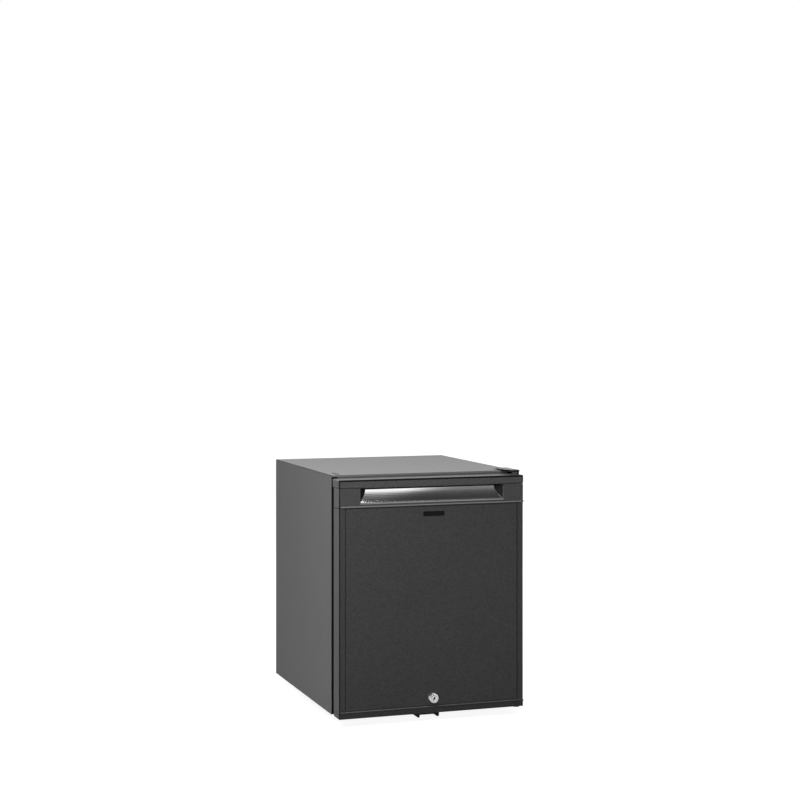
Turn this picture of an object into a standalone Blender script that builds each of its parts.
"""Minibar fridge: a small absorption refrigerator with a framed door, built piece by piece.

The frame has its origin under the middle of the fridge, +Z up, and the door faces -Y.
Every size is in metres. A small gap is left wherever two pieces touch.
"""

import math

import bmesh
import bpy
from mathutils import Matrix, Vector

# Overall sizes
WIDTH = 0.400
BODY_HEIGHT = 0.482
FOOT_HEIGHT = 0.018
CABINET_DEPTH = 0.410
DOOR_DEPTH = 0.036
DOOR_GAP = 0.014
DOOR_TOP_DROP = 0.006
LOCK_REACH = 0.009

# Fits between pieces
SEAT = 0.0003
RUNNING = 0.0004
SWING = 0.0025

# Cabinet shell
SHEET = 0.0010
RETURN_WIDTH = 0.012
TOP_LIP = 0.0025
TOP_LIP_GAP = 0.0035
BASE_LIP = 0.012
COLLAR_DEPTH = 0.004
COLLAR_CORNER = 0.002
CROSSBAR_HEIGHT = 0.022

# Insulated box
SIDE_WALL = 0.036
TOP_WALL = 0.040
BOTTOM_WALL = 0.038
REAR_WALL = 0.041
REAR_BAY = 0.085
LINER_WALL = 0.002
LINER_CORNER = 0.004
LEDGE_REACH = 0.006
LEDGE_HEIGHT = 0.005
FIRST_LEDGE = 0.068
LEDGE_PITCH = 0.062
LEDGE_COUNT = 4
LEDGE_FRONT_SETBACK = 0.075

# Feet
FOOT_RADIUS = 0.014
FOOT_COLLAR = 0.003
FOOT_SHOULDER = 0.002
FOOT_INSET_X = 0.036
FOOT_INSET_FRONT = 0.052
FOOT_INSET_REAR = 0.030

# Door frame
CAP_HEIGHT = 0.017
CAP_OVERHANG = 0.005
CAP_PROUD = 0.0008
CAP_FRONT_WALL = 0.003
CAP_ROOF = 0.0035
MOULDING_HEIGHT = 0.0394
PROFILE_FACE = 0.0128
PROFILE_CORNER = 0.002
BOTTOM_PROFILE_HEIGHT = 0.0146
FRAME_WALL = 0.0025
BEAD_PROUD = 0.0006
BEAD_HEIGHT = 0.0026
BEAD_SETBACK = 0.0012
BEAD_EDGE = 0.0004
FRAME_EDGE = 0.0009

# Handle scoop
SCOOP_INSET = 0.045
SCOOP_LIP = 0.0107
SCOOP_DEPTH = 0.0145
SCOOP_RISE = 0.0255
SCOOP_STEPS = 8

# Door panel and filling
PANEL_RECESS = 0.0006
PANEL_GROOVE = 0.0012
PANEL_TUCK = 0.0036
PANEL_BACKING = 0.0015
DOOR_LINER_SHEET = 0.002
CHEEK_DEPTH = 0.030
CHEEK_WIDTH = 0.015
CHEEK_CLEARANCE = 0.006
CHEEK_EDGE = 0.002
DIKE_DEPTH = 0.018
LOWER_DIKE = 0.004
UPPER_DIKE = 0.012

# Gasket
GASKET_OUTER_INSET = 0.0170
GASKET_WIDTH = 0.013
GASKET_WAIST = 0.0025
GASKET_BOTTOM = 0.019
GASKET_CORNER = 0.010
GASKET_INNER_CORNER = 0.003

# Hinges
HINGE_INSET = 0.010
PIN_RADIUS = 0.004
BUSH_RADIUS = 0.006
BUSH_FLANGE_RADIUS = 0.0075
BUSH_DEPTH = 0.014
HINGE_PLATE = 0.0025
LOWER_PLATE = 0.0020
LOWER_PLATE_GAP = 0.0015
HINGE_PLATE_WIDTH = 0.030
HINGE_PLATE_DEPTH = 0.030
HINGE_ARM_RADIUS = 0.0085
PIN_HEAD_RADIUS = 0.0058
PIN_HEAD_HEIGHT = 0.0012
PLATE_SETBACK = 0.002
PAD_SETBACK = 0.003

# Lock
LOCK_HEIGHT = 0.031
LOCK_FACE_RADIUS = 0.0092
LOCK_BODY_RADIUS = 0.0080
LOCK_CYLINDER_RADIUS = 0.0058
LOCK_LENGTH = 0.026
LOCK_CHAMFER = 0.0012
KEYWAY_WIDTH = 0.0014
KEYWAY_LENGTH = 0.0066
KEYWAY_DEPTH = 0.004
KEYWAY_TILT = 35.0
LOCK_NUT_THICKNESS = 0.005
LOCK_NUT_RADIUS = 0.0135
CAM_REACH = 0.038
CAM_WIDTH = 0.012
CAM_THICKNESS = 0.002

# Striker under the door
STRIKER_WIDTH = 0.044
STRIKER_FRONT = 0.022
STRIKER_SEAT = 0.034
STRIKER_DROP = 0.0143
STRIKER_LIP = 0.0065
STRIKER_LEAN = 0.004
STRIKER_RAMP = 0.012

# Shelves
SHELF_WIRE = 0.0025
SHELF_ROD = 0.0015
SHELF_ROD_COUNT = 13
SHELF_SIDE_CLEARANCE = 0.002
SHELF_FRONT_SETBACK = 0.075
SHELF_CORNER = 0.016
SHELF_REAR_GAP = 0.004
SHELF_LEVELS = (1, 3)

# Door bins
BIN_END_GAP = 0.006
BIN_DEPTH = 0.072
BIN_WALL = 0.002
BIN_CORNER = 0.018
LOWER_BIN_RISE = 0.012
UPPER_BIN_RISE = 0.159
LOWER_BIN_HEIGHT = 0.082
UPPER_BIN_HEIGHT = 0.070
BIN_LUG_HEIGHT = 0.012
BIN_LUG_DEPTH = 0.010
BIN_LUG_RISE = 0.030
BIN_LEDGE = 0.006
BIN_WINDOWS = 4
BIN_WINDOW_SPAN = (0.30, 0.72)

# Evaporator and drip tray
EVAPORATOR_INSET = 0.064
EVAPORATOR_HEIGHT = 0.105
EVAPORATOR_TOP_GAP = 0.010
EVAPORATOR_BASE = 0.004
FIN_DEPTH = 0.024
FIN_THICKNESS = 0.002
FIN_COUNT = 15
TRAY_MARGIN = 0.005
TRAY_DEPTH = 0.042
TRAY_HEIGHT = 0.013
TRAY_WALL = 0.0015
TRAY_EDGE = 0.0015
TRAY_DROP = 0.004

# Lamp and thermostat housing
HOUSING_INSET = 0.014
HOUSING_WIDTH = 0.095
HOUSING_HEIGHT = 0.024
HOUSING_DEPTH = 0.095
HOUSING_SETBACK = 0.006
HOUSING_EDGE = 0.003
KNOB_RADIUS = 0.0105
KNOB_LENGTH = 0.009
KNOB_TAPER = 0.0008
KNOB_CHAMFER = 0.0012
POINTER_HALF_WIDTH = 0.0012
KNOB_SHAFT_RADIUS = 0.003
KNOB_SHAFT_LENGTH = 0.008
KNOB_INSET = 0.024
PLUNGER_INSET = 0.023
PLUNGER_GAP = 0.0015
PLUNGER_RADIUS = 0.003
PLUNGER_SEATED = 0.010
PLUNGER_TRAVEL = 0.003
LENS_INSET = 0.014
LENS_THICKNESS = 0.003
LENS_EDGE = 0.001

# Absorption cooling unit in the rear bay
UNIT_OFFSET = 0.040
BOILER_INSET = 0.050
BOILER_RADIUS = 0.030
BOILER_BASE = 0.027
BOILER_HEIGHT = 0.210
BOILER_SHEET = 0.001
BOILER_SHOULDER = 0.004
BOILER_TUBE_RADIUS = 0.010
BOILER_TUBE_STUB = 0.015
HEATER_RADIUS = 0.0055
HEATER_LENGTH = 0.120
VESSEL_RADIUS = 0.027
VESSEL_INSET_LEFT = 0.085
VESSEL_INSET_RIGHT = 0.105
VESSEL_DOME = 0.012
VESSEL_RISE = 0.047
COIL_RADIUS = 0.0075
COIL_PASSES = 5
COIL_PITCH = 0.040
COIL_INSET_LEFT = 0.115
COIL_INSET_RIGHT = 0.138
COIL_RISE = 0.038
EXCHANGER_RADIUS = 0.013
EXCHANGER_INSET = 0.050
EXCHANGER_ENTRY_INSET = 0.150
EXCHANGER_BEND = 0.026
EXCHANGER_DROP = 0.115
SOLUTION_RADIUS = 0.005
SOLUTION_BEND = 0.011
SOLUTION_DROP = 0.017
VAPOUR_RADIUS = 0.007
VAPOUR_BEND = 0.022
CONDENSER_RADIUS = 0.008
CONDENSER_DROP = 0.058
CONDENSER_INSET_RIGHT = 0.095
CONDENSER_INSET_LEFT = 0.130
CONDENSER_FINS = 13
CONDENSER_FIN_DEPTH = 0.056
CONDENSER_FIN_HEIGHT = 0.058
CONDENSER_FIN_SHEET = 0.0008
LIQUID_RADIUS = 0.004
LIQUID_BEND = 0.012
LIQUID_RUN = 0.015
RAIL_HEIGHT = 0.018
RAIL_SHEET = 0.0012
LOWER_RAIL_RISE = 0.038
UPPER_RAIL_DROP = 0.200
SADDLE_WIDTH = 0.022
SADDLE_INSET = 0.050
DRAIN_RADIUS = 0.004
DRAIN_X = -0.030
DRAIN_OFFSET = 0.013
DRAIN_BEND = 0.009
CUP_WIDTH = 0.080
CUP_DEPTH = 0.048
CUP_HEIGHT = 0.020
CUP_WALL = 0.0015
CUP_EDGE = 0.002
TERMINAL_INSET = 0.090
TERMINAL_WIDTH = 0.090
TERMINAL_HEIGHT = 0.066
TERMINAL_DEPTH = 0.028
TERMINAL_RISE = 0.007
TERMINAL_LID = 0.010
TERMINAL_GROOVE = 0.0008
TERMINAL_EDGE = 0.004
GLAND_RADIUS = 0.007
GLAND_LENGTH = 0.012
GLAND_BORE = 0.0035

# Places that follow from the sizes
HALF = WIDTH / 2
DEPTH = LOCK_REACH + DOOR_DEPTH + DOOR_GAP + CABINET_DEPTH
DOOR_FRONT = LOCK_REACH - DEPTH / 2
DOOR_BACK = DOOR_FRONT + DOOR_DEPTH
CABINET_FRONT = DOOR_BACK + DOOR_GAP
CABINET_BACK = CABINET_FRONT + CABINET_DEPTH
CABINET_BOTTOM = FOOT_HEIGHT
CABINET_TOP = FOOT_HEIGHT + BODY_HEIGHT
INSIDE_X = HALF - SHEET - SEAT
ROOF_UNDERSIDE = CABINET_TOP - SHEET - SEAT
FLOOR_TOPSIDE = CABINET_BOTTOM + SHEET + SEAT
PANEL_OUTER = CABINET_BACK - REAR_BAY
PANEL_INNER = PANEL_OUTER - SHEET
CAVITY_X = HALF - SIDE_WALL
CAVITY_TOP = CABINET_TOP - TOP_WALL
CAVITY_BOTTOM = CABINET_BOTTOM + BOTTOM_WALL
CAVITY_BACK = PANEL_OUTER - REAR_WALL
UNIT_Y = PANEL_OUTER + UNIT_OFFSET
DOOR_BOTTOM = CABINET_BOTTOM
DOOR_TOP = CABINET_TOP - DOOR_TOP_DROP
DOOR_HALF = HALF - CAP_PROUD
CAP_BOTTOM = DOOR_TOP - CAP_HEIGHT
MOULDING_TOP = CAP_BOTTOM - SEAT
MOULDING_BOTTOM = MOULDING_TOP - MOULDING_HEIGHT
PROFILE_TOP = MOULDING_BOTTOM - SEAT
PROFILE_BOTTOM = DOOR_BOTTOM + BOTTOM_PROFILE_HEIGHT + SEAT
FILL_HALF = DOOR_HALF - FRAME_WALL - SEAT
FILL_BOTTOM = DOOR_BOTTOM + FRAME_WALL + SEAT
PANEL_FRONT = DOOR_FRONT + PANEL_RECESS
PANEL_STEP = DOOR_FRONT + FRAME_WALL + SEAT
PANEL_BACK = PANEL_STEP + PANEL_BACKING
LINER_FACE = DOOR_BACK
LINER_INNER = DOOR_BACK - DOOR_LINER_SHEET
LEDGE_LEVELS = [CAVITY_BOTTOM + FIRST_LEDGE + LEDGE_PITCH * index for index in range(LEDGE_COUNT)]
SCOOP_HALF_WIDTH = HALF - SCOOP_INSET
CHEEK_OUTER = CAVITY_X - CHEEK_CLEARANCE
CHEEK_INNER = CHEEK_OUTER - CHEEK_WIDTH
BIN_HALF_WIDTH = CHEEK_INNER - BIN_END_GAP
BIN_BASES = (CAVITY_BOTTOM + LOWER_BIN_RISE, CAVITY_BOTTOM + UPPER_BIN_RISE)
HINGE_X = HALF - HINGE_INSET
HINGE_Y = DOOR_FRONT + DOOR_DEPTH / 2
LOCK_Z = DOOR_BOTTOM + LOCK_HEIGHT
CAM_Y = DOOR_FRONT + LOCK_LENGTH + SEAT
CAM_POCKET = CAM_THICKNESS + 2 * SWING
EVAPORATOR_HALF_WIDTH = CAVITY_X - EVAPORATOR_INSET
TRAY_HALF_WIDTH = EVAPORATOR_HALF_WIDTH + TRAY_MARGIN
HOUSING_RIGHT = CAVITY_X - HOUSING_INSET
HOUSING_LEFT = HOUSING_RIGHT - HOUSING_WIDTH
KNOB_X = HOUSING_RIGHT - KNOB_INSET
PLUNGER_X = HOUSING_LEFT + PLUNGER_INSET
CONTROLS_Z = CAVITY_TOP - SEAT - HOUSING_HEIGHT / 2
EVAPORATOR_TOP = CAVITY_TOP - EVAPORATOR_TOP_GAP
EVAPORATOR_BOTTOM = EVAPORATOR_TOP - EVAPORATOR_HEIGHT
BOILER_X = HALF - BOILER_INSET
VESSEL_LEFT = -HALF + VESSEL_INSET_LEFT
VESSEL_RIGHT = HALF - VESSEL_INSET_RIGHT
COIL_LEFT = -HALF + COIL_INSET_LEFT
COIL_RIGHT = HALF - COIL_INSET_RIGHT
EXCHANGER_X = -HALF + EXCHANGER_INSET
EXCHANGER_ENTRY_X = -HALF + EXCHANGER_ENTRY_INSET
CONDENSER_RIGHT = HALF - CONDENSER_INSET_RIGHT
CONDENSER_LEFT = -HALF + CONDENSER_INSET_LEFT
UPPER_RAIL_Z = CABINET_TOP - UPPER_RAIL_DROP
TERMINAL_RIGHT = HALF - TERMINAL_INSET
TERMINAL_LEFT = TERMINAL_RIGHT - TERMINAL_WIDTH
EXCHANGER_ENTRY_Z = CABINET_TOP - EXCHANGER_DROP
CONDENSER_Z = CABINET_TOP - CONDENSER_DROP
LIQUID_X = CONDENSER_LEFT - LIQUID_RUN
TRAY_TOP = EVAPORATOR_BOTTOM - TRAY_DROP
TRAY_BOTTOM = TRAY_TOP - TRAY_HEIGHT
TRAY_BACK = CAVITY_BACK - SEAT
DRAIN_Z = TRAY_BOTTOM + TRAY_WALL + DRAIN_RADIUS + SEAT
VESSEL_Z = CABINET_BOTTOM + VESSEL_RISE
VESSEL_TOP = VESSEL_Z + VESSEL_RADIUS

# Colours, roughness and metal of each finish
FINISHES = {
    "cabinet_paint": ((0.20, 0.20, 0.20), 0.45, 0.0),
    "frame_plastic": ((0.060, 0.060, 0.060), 0.42, 0.0),
    "panel_film": ((0.040, 0.040, 0.042), 0.38, 0.0),
    "black_rubber": ((0.015, 0.015, 0.015), 0.70, 0.0),
    "liner_white": ((0.80, 0.81, 0.80), 0.35, 0.0),
    "foam": ((0.78, 0.70, 0.45), 0.90, 0.0),
    "zinc_sheet": ((0.55, 0.56, 0.57), 0.40, 1.0),
    "chrome": ((0.75, 0.75, 0.76), 0.15, 1.0),
    "black_steel": ((0.020, 0.020, 0.022), 0.45, 0.0),
    "aluminium": ((0.75, 0.76, 0.77), 0.35, 1.0),
    "shelf_wire": ((0.82, 0.82, 0.82), 0.30, 0.0),
    "bin_plastic": ((0.70, 0.76, 0.78), 0.12, 0.0),
    "lens_plastic": ((0.88, 0.88, 0.84), 0.25, 0.0),
    "grey_plastic": ((0.35, 0.36, 0.37), 0.50, 0.0),
    "nylon": ((0.10, 0.10, 0.10), 0.50, 0.0),
}

for old in list(bpy.data.objects):
    bpy.data.objects.remove(old, do_unlink=True)

parts = bpy.data.collections.new("minibar_fridge")
cutters = bpy.data.collections.new("cutters")
bpy.context.scene.collection.children.link(parts)
bpy.context.scene.collection.children.link(cutters)


def make_material(name):
    """A Principled material with the finish's colour, roughness and metallic value."""
    colour, roughness, metallic = FINISHES[name]
    material = bpy.data.materials.new(name)
    material.use_nodes = True
    shader = material.node_tree.nodes["Principled BSDF"]
    shader.inputs["Base Color"].default_value = (*colour, 1.0)
    shader.inputs["Roughness"].default_value = roughness
    shader.inputs["Metallic"].default_value = metallic
    return material


materials = {name: make_material(name) for name in FINISHES}


def add(name, data, finish, parent=None, location=(0, 0, 0)):
    """Links an object with its finish, or as a cutter where the finish is None."""
    obj = bpy.data.objects.new(name, data)
    obj.location = location
    if finish is None:
        obj.hide_render = True
        obj.display_type = "WIRE"
        cutters.objects.link(obj)
    else:
        data.materials.append(materials[finish])
        parts.objects.link(obj)
    if parent is not None:
        obj.parent = parent
        obj.location = Vector(location) - parent.location
    return obj


def add_axis(name, point):
    """An empty on a joint's axis, which carries the pieces that move with it."""
    empty = bpy.data.objects.new(name, None)
    empty.location = point
    parts.objects.link(empty)
    return empty


def mesh_from(build):
    """A mesh filled by a function that works on a bmesh."""
    work = bmesh.new()
    build(work)
    mesh = bpy.data.meshes.new("shape")
    work.to_mesh(mesh)
    work.free()
    return mesh


def cube_into(work, low, high):
    """Adds a box between two corners to a bmesh."""
    low, high = Vector(low), Vector(high)
    size = Matrix.Diagonal((*(high - low), 1.0))
    bmesh.ops.create_cube(work, size=1.0, matrix=Matrix.Translation((low + high) / 2) @ size)


def rod_into(work, start, end, radius, sides):
    """Adds a straight rod between two points to a bmesh."""
    start, end = Vector(start), Vector(end)
    run = end - start
    turn = run.to_track_quat("Z", "Y").to_matrix().to_4x4()
    bmesh.ops.create_cone(
        work, cap_ends=True, segments=sides, radius1=radius, radius2=radius,
        depth=run.length, matrix=Matrix.Translation((start + end) / 2) @ turn)


def add_box(name, low, high, finish=None, parent=None, edge=0.0):
    """A box between two corners, with rounded edges where an edge radius is given."""
    centre = (Vector(low) + Vector(high)) / 2
    mesh = mesh_from(lambda work: cube_into(work, Vector(low) - centre, Vector(high) - centre))
    obj = add(name, mesh, finish, parent, centre)
    if edge:
        round_edges(obj, edge)
    return obj


def add_boxes(name, corners, finish=None, parent=None):
    """Several boxes that don't meet, in one mesh."""
    def build(work):
        for low, high in corners:
            cube_into(work, low, high)
    return add(name, mesh_from(build), finish, parent)


def add_rods(name, runs, radius, sides=10, finish=None, parent=None):
    """Several straight rods that don't meet, in one mesh."""
    def build(work):
        for start, end in runs:
            rod_into(work, start, end, radius, sides)
    return smooth(add(name, mesh_from(build), finish, parent))


def smooth(obj):
    """Shades a round piece smooth, with its real edges kept sharp."""
    obj.data.shade_smooth()
    obj.data.set_sharp_from_angle(angle=math.radians(35))
    return obj


def round_edges(obj, width, segments=2):
    """Rounds every edge of an object that turns by more than 30 degrees."""
    bevel = obj.modifiers.new("rounded_edges", "BEVEL")
    bevel.width = width
    bevel.segments = segments
    bevel.limit_method = "ANGLE"
    bevel.angle_limit = math.radians(30)


def combine(obj, operation, others):
    """Cuts, fuses or intersects an object with others by Boolean modifiers."""
    for other in others:
        modifier = obj.modifiers.new(operation.lower(), "BOOLEAN")
        modifier.operation = operation
        modifier.object = other
        modifier.solver = "EXACT"
    return obj


def cut(obj, *others):
    """Takes other shapes out of an object."""
    return combine(obj, "DIFFERENCE", others)


def fuse(obj, *others):
    """Joins other shapes to an object."""
    return combine(obj, "UNION", others)


def add_turned(name, profile, place, direction, finish=None, parent=None, sides=24, closed=False):
    """A turned piece: a profile of (radius, height) pairs, listed down its outer side."""
    def build(work):
        points = [work.verts.new((radius, 0.0, height)) for radius, height in profile]
        for first, second in zip(points, points[1:]):
            work.edges.new((first, second))
        if closed:
            work.edges.new((points[-1], points[0]))
    obj = add(name, mesh_from(build), finish, parent, place)
    obj.rotation_euler = Vector(direction).to_track_quat("Z", "Y").to_euler()
    screw = obj.modifiers.new("turned", "SCREW")
    screw.axis = "Z"
    screw.steps = sides
    screw.render_steps = sides
    screw.use_merge_vertices = True
    screw.merge_threshold = 0.00001
    screw.use_smooth_shade = True
    return obj


def add_outline(name, outlines, thickness, place, rotation=(0, 0, 0), finish=None, parent=None):
    """A flat piece: closed outlines of (x, y) pairs, filled and extruded about their plane."""
    curve = bpy.data.curves.new(name, "CURVE")
    curve.dimensions = "2D"
    curve.fill_mode = "BOTH"
    curve.extrude = thickness / 2
    for outline in outlines:
        spline = curve.splines.new("POLY")
        spline.points.add(len(outline) - 1)
        for point, (x, y) in zip(spline.points, outline):
            point.co = (x, y, 0.0, 1.0)
        spline.use_cyclic_u = True
    obj = add(name, curve, finish, parent, place)
    obj.rotation_euler = rotation
    return as_mesh(obj)


def add_tube(name, route, radius, finish=None, parent=None, sides=8, cyclic=False):
    """A round tube or wire along a route of points."""
    curve = bpy.data.curves.new(name, "CURVE")
    curve.dimensions = "3D"
    curve.bevel_depth = radius
    curve.bevel_resolution = sides // 2 - 2
    curve.use_fill_caps = True
    spline = curve.splines.new("POLY")
    spline.points.add(len(route) - 1)
    for point, place in zip(spline.points, route):
        point.co = (*place, 1.0)
    spline.use_cyclic_u = cyclic
    return as_mesh(add(name, curve, finish, parent))


def as_mesh(curve_object):
    """The curve object as a mesh object of the same name, with its caps welded on."""
    bpy.context.view_layer.update()
    graph = bpy.context.evaluated_depsgraph_get()
    mesh = bpy.data.meshes.new_from_object(curve_object.evaluated_get(graph))
    work = bmesh.new()
    work.from_mesh(mesh)
    bmesh.ops.remove_doubles(work, verts=work.verts, dist=0.00001)
    bmesh.ops.recalc_face_normals(work, faces=work.faces)
    work.to_mesh(mesh)
    work.free()
    name = curve_object.name
    is_cutter = curve_object.hide_render
    parent = curve_object.parent
    matrix = curve_object.matrix_world.copy()
    curve_object.name = name + "_curve"
    obj = bpy.data.objects.new(name, mesh)
    (cutters if is_cutter else parts).objects.link(obj)
    obj.hide_render = is_cutter
    obj.display_type = "WIRE" if is_cutter else "TEXTURED"
    obj.parent = parent
    if parent is not None:
        matrix = Matrix.Translation(-parent.location) @ matrix
    obj.matrix_basis = matrix
    bpy.data.objects.remove(curve_object, do_unlink=True)
    return smooth(obj)


def bent_route(corners, radius, steps=5):
    """Points along straight runs between corners, with every inner corner rounded."""
    corners = [Vector(corner) for corner in corners]
    route = [corners[0]]
    for before, corner, after in zip(corners, corners[1:], corners[2:]):
        arrive = (before - corner).normalized()
        leave = (after - corner).normalized()
        turn = math.pi - arrive.angle(leave)
        setback = radius * math.tan(turn / 2)
        centre = corner + (arrive + leave).normalized() * (radius / math.cos(turn / 2))
        first = corner + arrive * setback - centre
        normal = arrive.cross(leave).normalized()
        for step in range(steps + 1):
            swing = Matrix.Rotation(-turn * step / steps, 3, normal)
            route.append(centre + swing @ first)
    route.append(corners[-1])
    return route


def rounded_rectangle(low, high, radius, steps=4):
    """An outline of a rectangle between two corners, with round corners."""
    (left, bottom), (right, top) = low, high
    centres = [
        (right - radius, top - radius), (left + radius, top - radius),
        (left + radius, bottom + radius), (right - radius, bottom + radius)]
    outline = []
    for quarter, (x, y) in enumerate(centres):
        for step in range(steps + 1):
            angle = (quarter + step / steps) * math.pi / 2
            outline.append((x + radius * math.cos(angle), y + radius * math.sin(angle)))
    return outline


def circle(radius, sides=20, centre=(0.0, 0.0)):
    """An outline of a circle."""
    turns = [2 * math.pi * side / sides for side in range(sides)]
    return [(centre[0] + radius * math.cos(turn), centre[1] + radius * math.sin(turn)) for turn in turns]


# Cabinet shell

def side_panel(name, side):
    """A folded side sheet with narrow returns along its front and rear edges."""
    outer = side * HALF
    inner = side * (HALF - SHEET)
    edge = side * (HALF - SHEET - RETURN_WIDTH)
    outline = [
        (edge, CABINET_FRONT), (outer, CABINET_FRONT), (outer, CABINET_BACK), (edge, CABINET_BACK),
        (edge, CABINET_BACK - SHEET), (inner, CABINET_BACK - SHEET),
        (inner, CABINET_FRONT + SHEET), (edge, CABINET_FRONT + SHEET)]
    height = CABINET_TOP - SHEET - SEAT - CABINET_BOTTOM
    panel = add_outline(
        name, [outline], height, (0, 0, CABINET_BOTTOM + height / 2), finish="cabinet_paint")
    lip_top = CABINET_TOP - SHEET - TOP_LIP
    reach = sorted((side * (HALF - SHEET - SEAT), edge - side * SHEET))
    notches = add_boxes(name + "_corner_notches", [
        ((reach[0], CABINET_FRONT - SHEET, lip_top - TOP_LIP_GAP),
         (reach[1], CABINET_FRONT + 2 * SHEET, CABINET_TOP)),
        ((reach[0], CABINET_FRONT - SHEET, CABINET_BOTTOM - SHEET),
         (reach[1], CABINET_FRONT + 2 * SHEET, CABINET_BOTTOM + BASE_LIP + SEAT)),
        ((reach[0], CABINET_BACK - 2 * SHEET, lip_top - SEAT),
         (reach[1], CABINET_BACK + SHEET, CABINET_TOP))])
    return cut(panel, notches)


def top_panel():
    """The worktop sheet that caps the side panels, with short lips in front and behind."""
    lip_bottom = CABINET_TOP - SHEET - TOP_LIP
    outline = [
        (CABINET_FRONT, lip_bottom), (CABINET_FRONT + SHEET, lip_bottom),
        (CABINET_FRONT + SHEET, CABINET_TOP - SHEET), (CABINET_BACK - SHEET, CABINET_TOP - SHEET),
        (CABINET_BACK - SHEET, lip_bottom), (CABINET_BACK, lip_bottom),
        (CABINET_BACK, CABINET_TOP), (CABINET_FRONT, CABINET_TOP)]
    panel = add_outline(
        "top_panel", [outline], WIDTH, (0, 0, 0), (math.pi / 2, 0, math.pi / 2), "cabinet_paint")
    ends = add_boxes("top_lip_ends", [
        ((-HALF - SHEET, CABINET_FRONT - SHEET, lip_bottom - SHEET),
         (-HALF + SHEET + SEAT, CABINET_BACK + SHEET, CABINET_TOP - SHEET)),
        ((HALF - SHEET - SEAT, CABINET_FRONT - SHEET, lip_bottom - SHEET),
         (HALF + SHEET, CABINET_BACK + SHEET, CABINET_TOP - SHEET))])
    return cut(panel, ends)


def base_panel():
    """The floor sheet between the side panels, with a front lip turned up."""
    lip_top = CABINET_BOTTOM + BASE_LIP
    outline = [
        (CABINET_FRONT, CABINET_BOTTOM), (PANEL_OUTER, CABINET_BOTTOM),
        (PANEL_OUTER, CABINET_BOTTOM + SHEET), (CABINET_FRONT + SHEET, CABINET_BOTTOM + SHEET),
        (CABINET_FRONT + SHEET, lip_top), (CABINET_FRONT, lip_top)]
    return add_outline(
        "base_panel", [outline], 2 * INSIDE_X, (0, 0, 0), (math.pi / 2, 0, math.pi / 2), "cabinet_paint")


def front_collar():
    """The flat steel frame round the opening, which the gasket seals against."""
    outer = rounded_rectangle(
        (-HALF + SHEET + RETURN_WIDTH + SEAT, CABINET_BOTTOM + BASE_LIP + SEAT),
        (HALF - SHEET - RETURN_WIDTH - SEAT, CABINET_TOP - SHEET - TOP_LIP - SEAT), COLLAR_CORNER, 2)
    reach = CAVITY_X + LINER_WALL + SEAT
    low = CAVITY_BOTTOM - LINER_WALL - SEAT
    high = CAVITY_TOP + LINER_WALL + SEAT
    inner = [(-reach, low), (reach, low), (reach, high), (-reach, high)]
    return add_outline(
        "front_collar", [outer, inner], COLLAR_DEPTH, (0, CABINET_FRONT + COLLAR_DEPTH / 2, 0),
        (math.pi / 2, 0, 0), "frame_plastic")


def wall_holes():
    """Cutters for the pipes that pass through the insulated rear wall."""
    front = CAVITY_BACK - TRAY_DEPTH
    back = PANEL_OUTER + SHEET
    holes = [
        ("exchanger_hole", EXCHANGER_ENTRY_X, EXCHANGER_ENTRY_Z, EXCHANGER_RADIUS),
        ("liquid_hole", LIQUID_X, CONDENSER_Z, LIQUID_RADIUS),
        ("drain_hole", DRAIN_X, DRAIN_Z, DRAIN_RADIUS)]
    return [
        add_rods(name, [((x, front, z), (x, back, z))], radius + SEAT, 16)
        for name, x, z, radius in holes]


def rear_panel(holes):
    """The galvanised sheet behind the foam, which carries the cooling unit."""
    panel = add_box(
        "rear_panel", (-INSIDE_X, PANEL_INNER, FLOOR_TOPSIDE), (INSIDE_X, PANEL_OUTER, ROOF_UNDERSIDE),
        "zinc_sheet")
    return cut(panel, *holes)


def insulation_foam(holes):
    """The foam that fills the walls between the sheets and the liner."""
    foam = add_box(
        "insulation_foam", (-INSIDE_X, CABINET_FRONT + COLLAR_DEPTH + SEAT, FLOOR_TOPSIDE),
        (INSIDE_X, PANEL_INNER - SEAT, ROOF_UNDERSIDE), "foam")
    reach = CAVITY_X + LINER_WALL + SEAT
    room = add_box(
        "foam_cavity", (-reach, CABINET_FRONT - SHEET, CAVITY_BOTTOM - LINER_WALL - SEAT),
        (reach, CAVITY_BACK + LINER_WALL + SEAT, CAVITY_TOP + LINER_WALL + SEAT))
    return cut(foam, room, *holes)


def inner_liner(holes):
    """The white inner box, open in front, with ledges for the shelves on both side walls."""
    liner = add_box(
        "inner_liner",
        (-CAVITY_X - LINER_WALL, CABINET_FRONT, CAVITY_BOTTOM - LINER_WALL),
        (CAVITY_X + LINER_WALL, CAVITY_BACK + LINER_WALL, CAVITY_TOP + LINER_WALL), "liner_white")
    room = add_box(
        "liner_cavity", (-CAVITY_X, CABINET_FRONT - SHEET, CAVITY_BOTTOM),
        (CAVITY_X, CAVITY_BACK, CAVITY_TOP), edge=LINER_CORNER)
    corners = []
    for level in LEDGE_LEVELS:
        for side in (-1, 1):
            reach = sorted((side * (CAVITY_X - LEDGE_REACH), side * (CAVITY_X + LINER_WALL / 2)))
            corners.append((
                (reach[0], CABINET_FRONT + LEDGE_FRONT_SETBACK, level - LEDGE_HEIGHT),
                (reach[1], CAVITY_BACK + LINER_WALL / 2, level)))
    ledges = add_boxes("shelf_ledges", corners)
    return fuse(cut(liner, room, *holes), ledges)


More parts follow.
